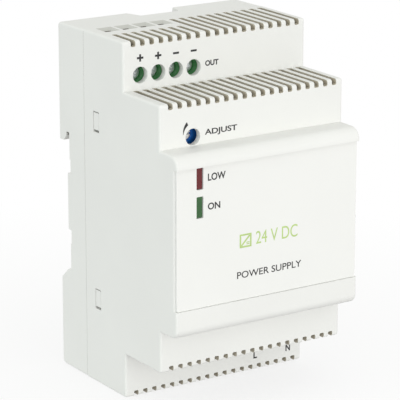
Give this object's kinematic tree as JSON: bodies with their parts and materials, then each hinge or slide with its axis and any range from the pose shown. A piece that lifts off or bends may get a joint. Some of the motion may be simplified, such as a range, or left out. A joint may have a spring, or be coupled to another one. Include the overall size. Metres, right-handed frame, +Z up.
{
  "type": "din rail power supply",
  "caption": "Stepped modular power supply housing that hooks on a hat rail, with a sprung latch, clamp terminals, vents, lamps and a voltage trimmer.",
  "frame": {"origin": "in the middle of the flat boss that faces the inside of the rail: on the rail's centre line, midway between the sides, 1 mm behind the plane in which the rail's flanges rest", "axes": "+X to the right seen from the front, +Y from the front to the rail, +Z up"},
  "size_m": [0.053, 0.0552, 0.09],
  "materials": {
    "housing_plastic": "fine moulded texture, satin",
    "front_plate_plastic": "smooth printed sheet, satin",
    "latch_plastic": "moulded, satin",
    "terminal_plastic": "moulded, satin",
    "screw_steel": "zinc plated",
    "clamp_metal": "tin plated brass",
    "trimmer_plastic": "moulded, gloss",
    "rotor_plastic": "moulded, satin",
    "red_lens": "tinted clear plastic, unlit",
    "green_lens": "tinted clear plastic, unlit",
    "board_laminate": "solder mask",
    "black_resin": "moulded resin",
    "ferrite": "sintered ferrite",
    "winding_tape": "polyester tape",
    "capacitor_box": "moulded box",
    "capacitor_sleeve": "shrink sleeve",
    "copper_wire": "enamelled copper",
    "heat_sink_metal": "bare sheet",
    "blue_coating": "dipped epoxy",
    "dark_coating": "dipped epoxy",
    "red_coating": "dipped epoxy",
    "fuse_ceramic": "ceramic"
  },
  "bodies": {
    "chassis": {"board_header": "black_resin", "bridge_rectifier": "black_resin", "bulk_capacitor": "capacitor_sleeve", "controller_chip": "black_resin", "diode_screw": "screw_steel", "front_cover": "housing_plastic", "front_plate": "front_plate_plastic", "fuse": "fuse_ceramic", "green_led": "green_lens", "green_light_pipe": "green_lens", "input_terminal_block": "terminal_plastic", "inrush_thermistor": "dark_coating", "lamp_board": "board_laminate", "latch_spring": "screw_steel", "main_board": "board_laminate", "mains_choke_core": "ferrite", "mains_choke_winding_1": "copper_wire", "mains_choke_winding_2": "copper_wire", "mains_filter_capacitor": "capacitor_box", "optocoupler": "black_resin", "output_capacitor_1": "capacitor_sleeve", "output_capacitor_2": "capacitor_sleeve", "output_choke_core": "ferrite", "output_choke_winding": "copper_wire", "output_diode": "black_resin", "output_terminal_block": "terminal_plastic", "primary_heat_sink": "heat_sink_metal", "rear_base": "housing_plastic", "red_led": "red_lens", "red_light_pipe": "red_lens", "secondary_heat_sink": "heat_sink_metal", "switching_transistor": "black_resin", "transformer_bobbin": "black_resin", "transformer_front_core": "ferrite", "transformer_rear_core": "ferrite", "transformer_winding": "winding_tape", "transistor_screw": "screw_steel", "trimmer_body": "trimmer_plastic", "varistor": "red_coating", "y_capacitor": "blue_coating"},
    "latch": {"rail_latch": "latch_plastic"},
    "trimmer_knob": {"trimmer_rotor": "rotor_plastic"},
    "output_screw_1_body": {"output_screw_1": "screw_steel"},
    "output_clamp_1_body": {"output_clamp_1": "clamp_metal"},
    "output_screw_2_body": {"output_screw_2": "screw_steel"},
    "output_clamp_2_body": {"output_clamp_2": "clamp_metal"},
    "output_screw_3_body": {"output_screw_3": "screw_steel"},
    "output_clamp_3_body": {"output_clamp_3": "clamp_metal"},
    "output_screw_4_body": {"output_screw_4": "screw_steel"},
    "output_clamp_4_body": {"output_clamp_4": "clamp_metal"},
    "input_screw_1_body": {"input_screw_1": "screw_steel"},
    "input_clamp_1_body": {"input_clamp_1": "clamp_metal"},
    "input_screw_2_body": {"input_screw_2": "screw_steel"},
    "input_clamp_2_body": {"input_clamp_2": "clamp_metal"}
  },
  "joints": [
    {"name": "latch_slide", "type": "slide", "parent": "chassis", "child": "latch", "axis": [0, 0, -1], "range_m": [0, 0.0045], "stiffness_N_per_m": 600, "springref_m": -0.002, "deforming": ["latch_spring"]},
    {"name": "trimmer_turn", "type": "hinge", "parent": "chassis", "child": "trimmer_knob", "pos_m": [-0.01715, -0.04005, 0.0247], "axis": [0, -1, 0], "range_deg": [-105, 105]},
    {"name": "output_screw_1_turn", "type": "hinge", "parent": "chassis", "child": "output_screw_1_body", "pos_m": [-0.02165, -0.0241, 0.0371], "axis": [0, 1, 0], "range_deg": [0, 1440]},
    {"name": "output_clamp_1_slide", "type": "slide", "parent": "chassis", "child": "output_clamp_1_body", "axis": [0, -1, 0], "range_m": [0, 0.002]},
    {"name": "output_screw_2_turn", "type": "hinge", "parent": "chassis", "child": "output_screw_2_body", "pos_m": [-0.01657, -0.0241, 0.0371], "axis": [0, 1, 0], "range_deg": [0, 1440]},
    {"name": "output_clamp_2_slide", "type": "slide", "parent": "chassis", "child": "output_clamp_2_body", "axis": [0, -1, 0], "range_m": [0, 0.002]},
    {"name": "output_screw_3_turn", "type": "hinge", "parent": "chassis", "child": "output_screw_3_body", "pos_m": [-0.01149, -0.0241, 0.0371], "axis": [0, 1, 0], "range_deg": [0, 1440]},
    {"name": "output_clamp_3_slide", "type": "slide", "parent": "chassis", "child": "output_clamp_3_body", "axis": [0, -1, 0], "range_m": [0, 0.002]},
    {"name": "output_screw_4_turn", "type": "hinge", "parent": "chassis", "child": "output_screw_4_body", "pos_m": [-0.00641, -0.0241, 0.0371], "axis": [0, 1, 0], "range_deg": [0, 1440]},
    {"name": "output_clamp_4_slide", "type": "slide", "parent": "chassis", "child": "output_clamp_4_body", "axis": [0, -1, 0], "range_m": [0, 0.002]},
    {"name": "input_screw_1_turn", "type": "hinge", "parent": "chassis", "child": "input_screw_1_body", "pos_m": [0.01204, -0.0241, -0.0358], "axis": [0, 1, 0], "range_deg": [0, 1440]},
    {"name": "input_clamp_1_slide", "type": "slide", "parent": "chassis", "child": "input_clamp_1_body", "axis": [0, -1, 0], "range_m": [0, 0.002]},
    {"name": "input_screw_2_turn", "type": "hinge", "parent": "chassis", "child": "input_screw_2_body", "pos_m": [0.0222, -0.0241, -0.0358], "axis": [0, 1, 0], "range_deg": [0, 1440]},
    {"name": "input_clamp_2_slide", "type": "slide", "parent": "chassis", "child": "input_clamp_2_body", "axis": [0, -1, 0], "range_m": [0, 0.002]}
  ],
  "couplings": [
    {"joint": "output_screw_1_turn", "follows": "output_clamp_1_slide", "rad_per_m": 12566},
    {"joint": "output_screw_2_turn", "follows": "output_clamp_2_slide", "rad_per_m": 12566},
    {"joint": "output_screw_3_turn", "follows": "output_clamp_3_slide", "rad_per_m": 12566},
    {"joint": "output_screw_4_turn", "follows": "output_clamp_4_slide", "rad_per_m": 12566},
    {"joint": "input_screw_1_turn", "follows": "input_clamp_1_slide", "rad_per_m": 12566},
    {"joint": "input_screw_2_turn", "follows": "input_clamp_2_slide", "rad_per_m": 12566}
  ]
}
